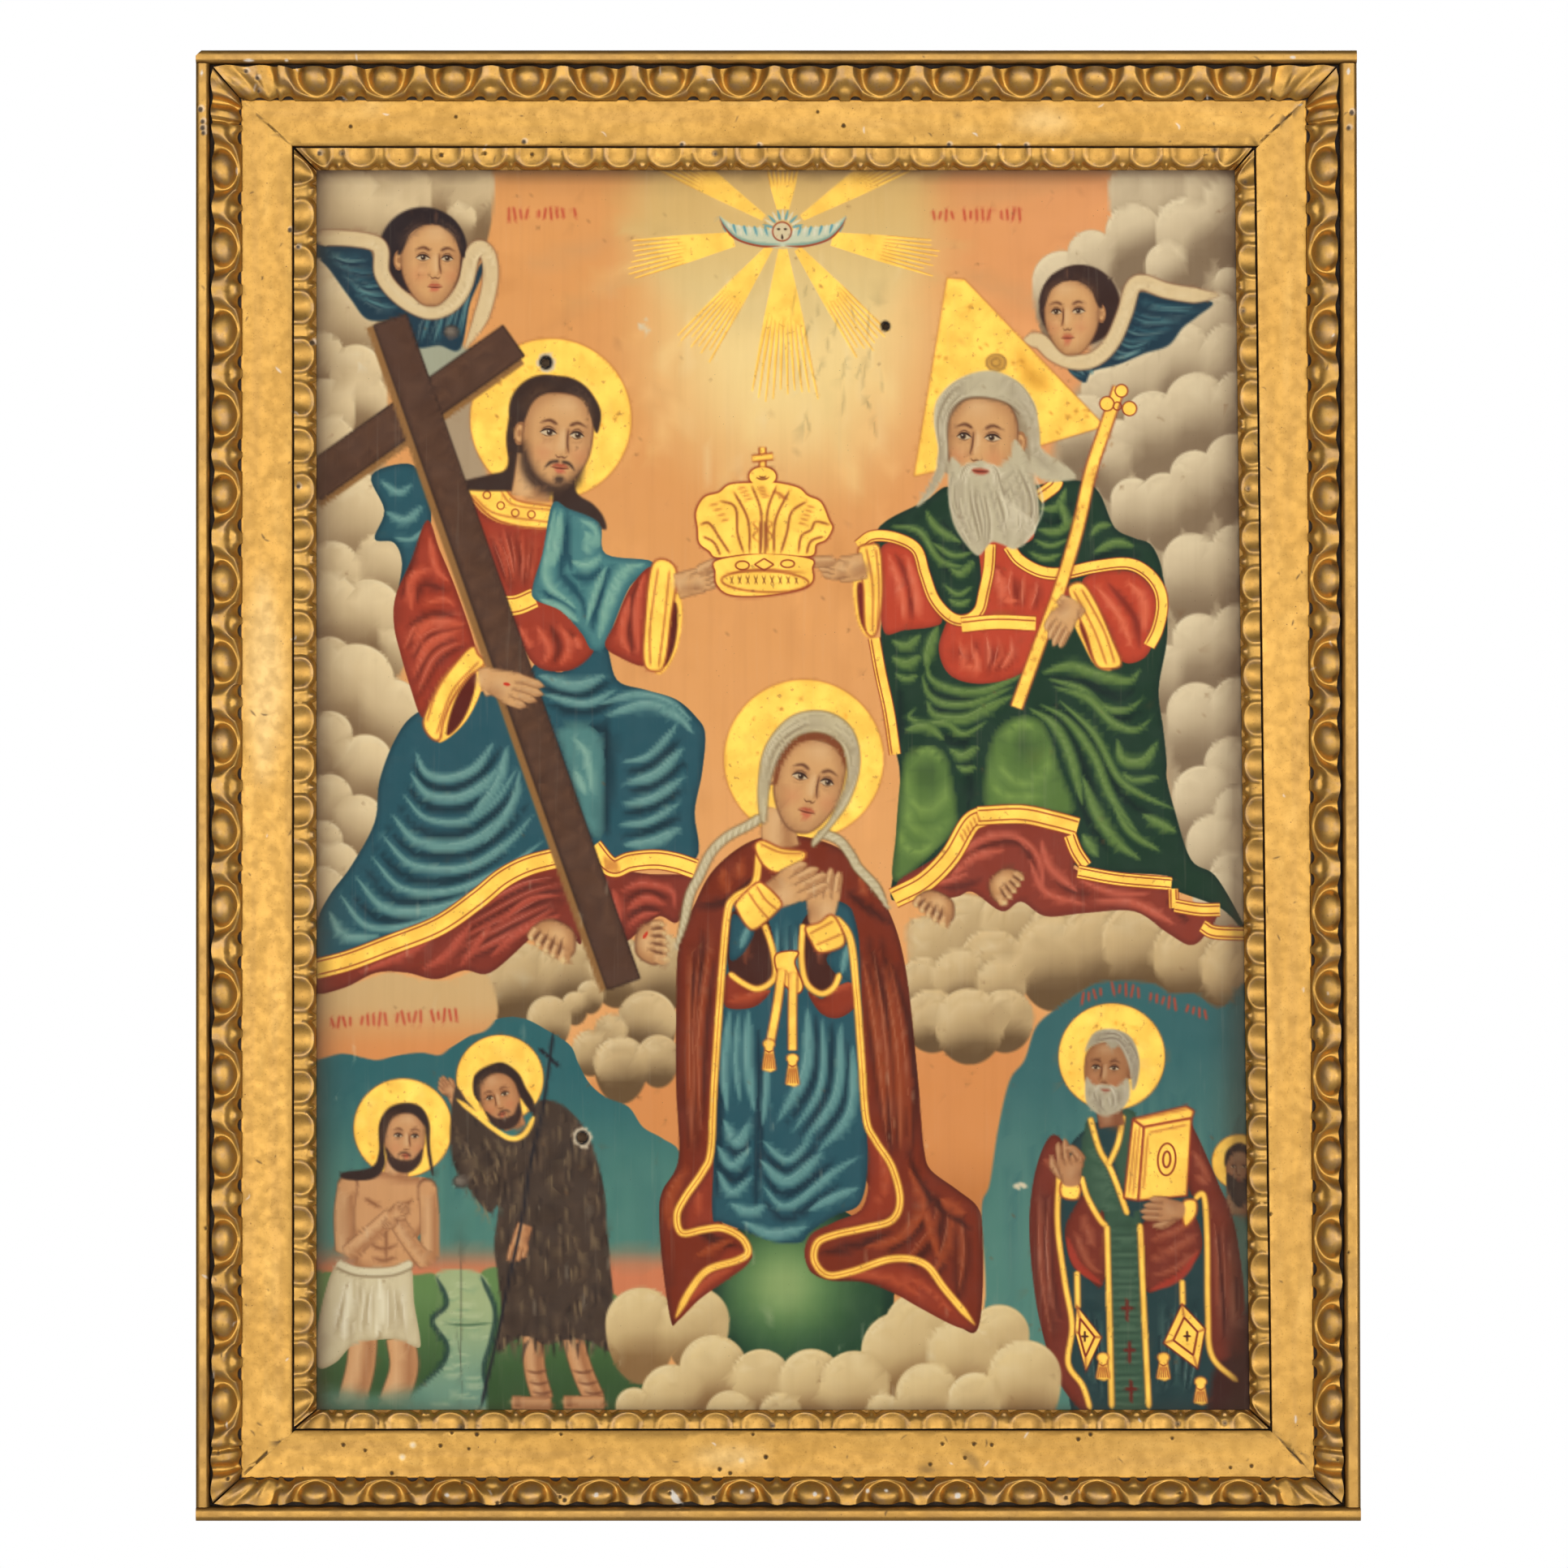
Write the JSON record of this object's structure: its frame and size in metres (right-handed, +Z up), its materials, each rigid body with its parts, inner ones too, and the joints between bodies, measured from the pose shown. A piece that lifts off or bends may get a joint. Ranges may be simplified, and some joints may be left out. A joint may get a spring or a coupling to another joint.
{
  "type": "framed wooden icon",
  "caption": "Painted wooden panel in a carved and gilded wooden frame with egg-and-tongue strips and scalloped slips, hung flat on a wall.",
  "frame": {"origin": "middle of the top frame board's flat back, on the wall plane", "axes": "+Y into the wall, -Y out of the picture's face, +Z up, +X to the viewer's right"},
  "size_m": [0.8616, 0.0468, 1.0878],
  "materials": {
    "painted_panel": "egg tempera or oil on gesso over a wooden panel, satin varnish, fine wear and dirt",
    "gilded_frieze": "gold leaf over bole and gesso on wood, rubbed, with worm holes and patches of later gold paint",
    "gilded_carving": "carved wood, gilded over bole, brown in the hollows and rubbed on the high parts",
    "gilded_edge": "gilded wood strip with chips down to gesso and dark wood",
    "gilded_slip": "carved and gilded wood with round nail heads"
  },
  "bodies": {
    "root": {"painted_panel": "painted_panel", "top_frame_board": "gilded_frieze", "right_frame_board": "gilded_frieze", "bottom_frame_board": "gilded_frieze", "left_frame_board": "gilded_frieze", "top_egg_strip": "gilded_carving", "right_egg_strip": "gilded_carving", "bottom_egg_strip": "gilded_carving", "left_egg_strip": "gilded_carving", "top_edge_strip": "gilded_edge", "right_edge_strip": "gilded_edge", "bottom_edge_strip": "gilded_edge", "left_edge_strip": "gilded_edge", "top_slip": "gilded_slip", "right_slip": "gilded_slip", "bottom_slip": "gilded_slip", "left_slip": "gilded_slip"}
  },
  "joints": []
}
